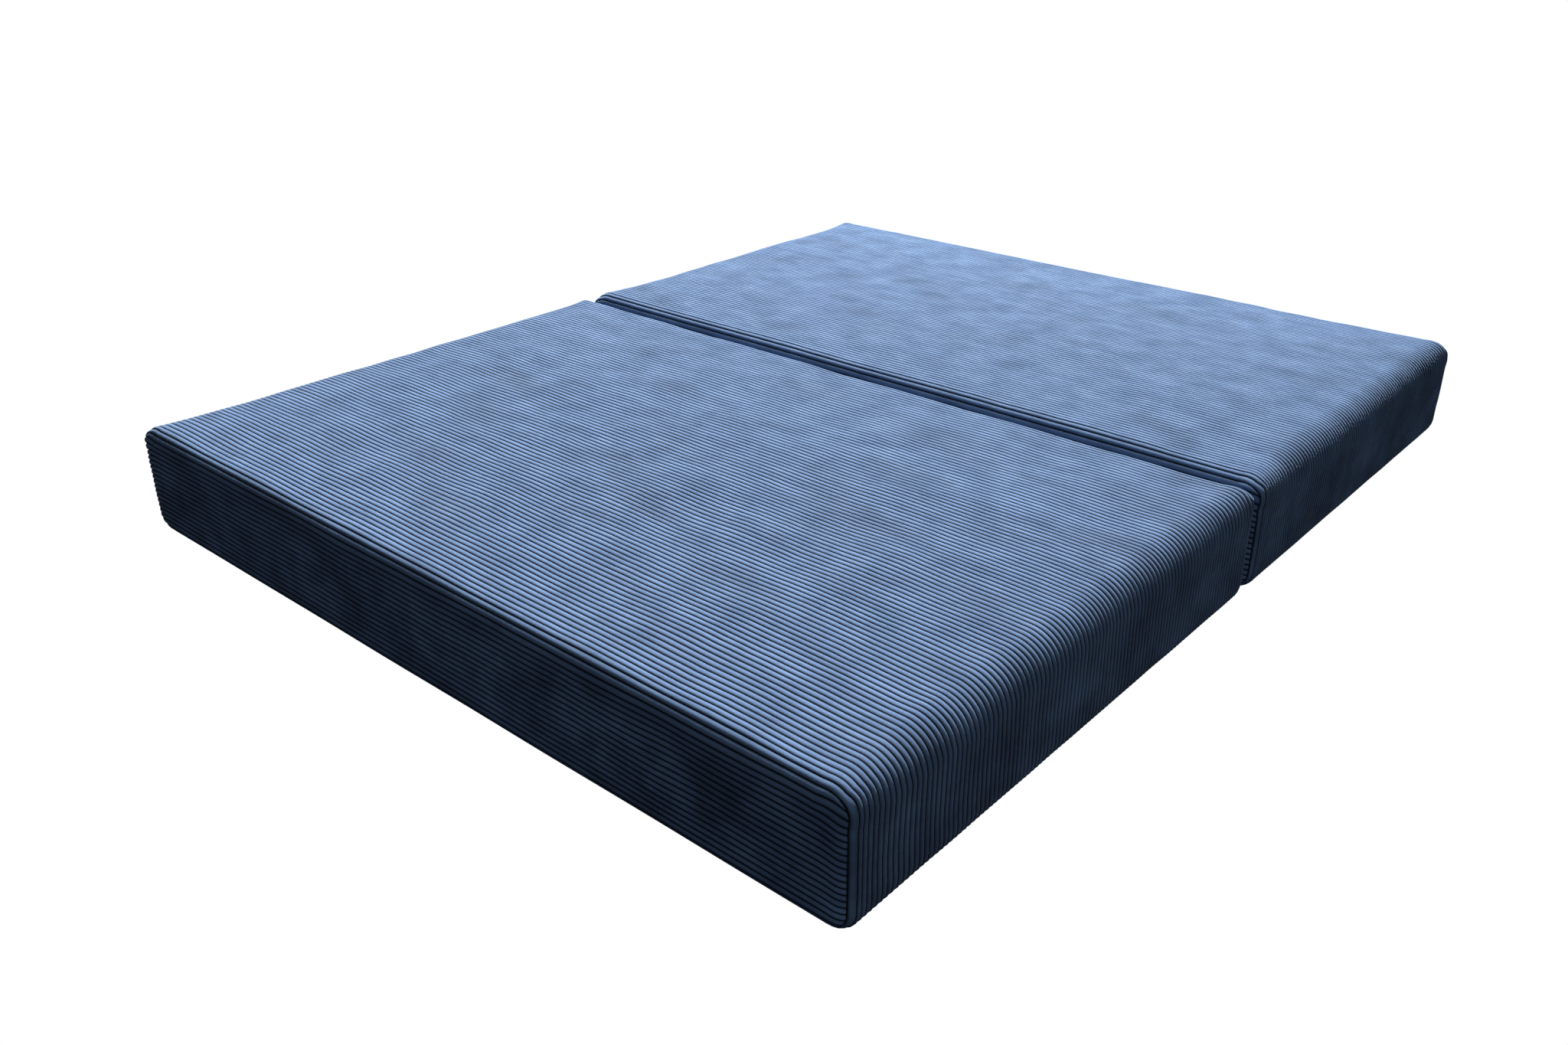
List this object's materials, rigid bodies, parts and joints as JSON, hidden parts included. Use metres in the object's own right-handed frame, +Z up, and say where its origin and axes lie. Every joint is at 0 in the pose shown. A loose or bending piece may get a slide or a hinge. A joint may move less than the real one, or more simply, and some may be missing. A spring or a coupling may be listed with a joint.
{
  "type": "folding futon mattress",
  "caption": "Thick double futon mattress in ribbed corduroy, an unequal seat block and back block joined by a cloth hinge strip, each with a zipped cover.",
  "frame": {"origin": "on the floor, under the middle of the whole mattress lying flat", "axes": "+X across the mattress, +Y from the seat block to the back block, +Z up"},
  "size_m": [1.6197, 2, 0.207],
  "materials": {
    "corduroy": "wide-wale blue corduroy with a brushed nap",
    "base_cloth": "plain-weave dark base cloth",
    "hinge_cloth": "twill hinge strip",
    "lining": "knitted cotton lining",
    "wadding": "loose polyester fibre",
    "core_foam": "open-cell polyurethane foam",
    "comfort_foam": "soft open-cell foam",
    "thread": "twisted polyester thread",
    "zip_tape": "woven tape",
    "zip_coil": "satin nylon coil",
    "zip_metal": "nickel-plated"
  },
  "bodies": {
    "seat_block": {"seat_foam_core": "core_foam", "seat_comfort_layer": "comfort_foam", "seat_fibre_wadding": "wadding", "seat_inner_lining": "lining", "seat_corduroy_cover": "corduroy", "seat_base_panel": "base_cloth", "seat_base_seam_thread": "thread", "seat_corner_seam_threads": "thread", "seat_zip_tapes": "zip_tape", "seat_zip_coil": "zip_coil", "seat_zip_end_stops": "zip_metal", "seat_strip_stitching": "thread", "hinge_strip": "hinge_cloth"},
    "seat_zip_slider": {"seat_zip_slider": "zip_metal"},
    "seat_zip_pull": {"seat_zip_pull": "zip_metal"},
    "back_block": {"back_foam_core": "core_foam", "back_comfort_layer": "comfort_foam", "back_fibre_wadding": "wadding", "back_inner_lining": "lining", "back_corduroy_cover": "corduroy", "back_base_panel": "base_cloth", "back_base_seam_thread": "thread", "back_corner_seam_threads": "thread", "back_zip_tapes": "zip_tape", "back_zip_coil": "zip_coil", "back_zip_end_stops": "zip_metal", "back_strip_stitching": "thread"},
    "back_zip_slider": {"back_zip_slider": "zip_metal"},
    "back_zip_pull": {"back_zip_pull": "zip_metal"}
  },
  "joints": [
    {"name": "mattress_fold", "type": "hinge", "parent": "seat_block", "child": "back_block", "pos_m": [0, 0.057, 0], "axis": [1, 0, 0], "range_deg": [-179, 6], "deforming": ["hinge_strip"]},
    {"name": "seat_zip_slide", "type": "slide", "parent": "seat_block", "child": "seat_zip_slider", "axis": [0, 1, 0], "range_m": [0, 0.9104]},
    {"name": "back_zip_slide", "type": "slide", "parent": "back_block", "child": "back_zip_slider", "axis": [0, -1, 0], "range_m": [0, 0.7964]},
    {"name": "seat_zip_pull_swing", "type": "hinge", "parent": "seat_zip_slider", "child": "seat_zip_pull", "pos_m": [-0.8099, -0.9327, 0.06], "axis": [0, 0, 1], "range_deg": [0, 178]},
    {"name": "back_zip_pull_swing", "type": "hinge", "parent": "back_zip_slider", "child": "back_zip_pull", "pos_m": [-0.8099, 0.9327, 0.06], "axis": [0, 0, -1], "range_deg": [0, 178]}
  ]
}
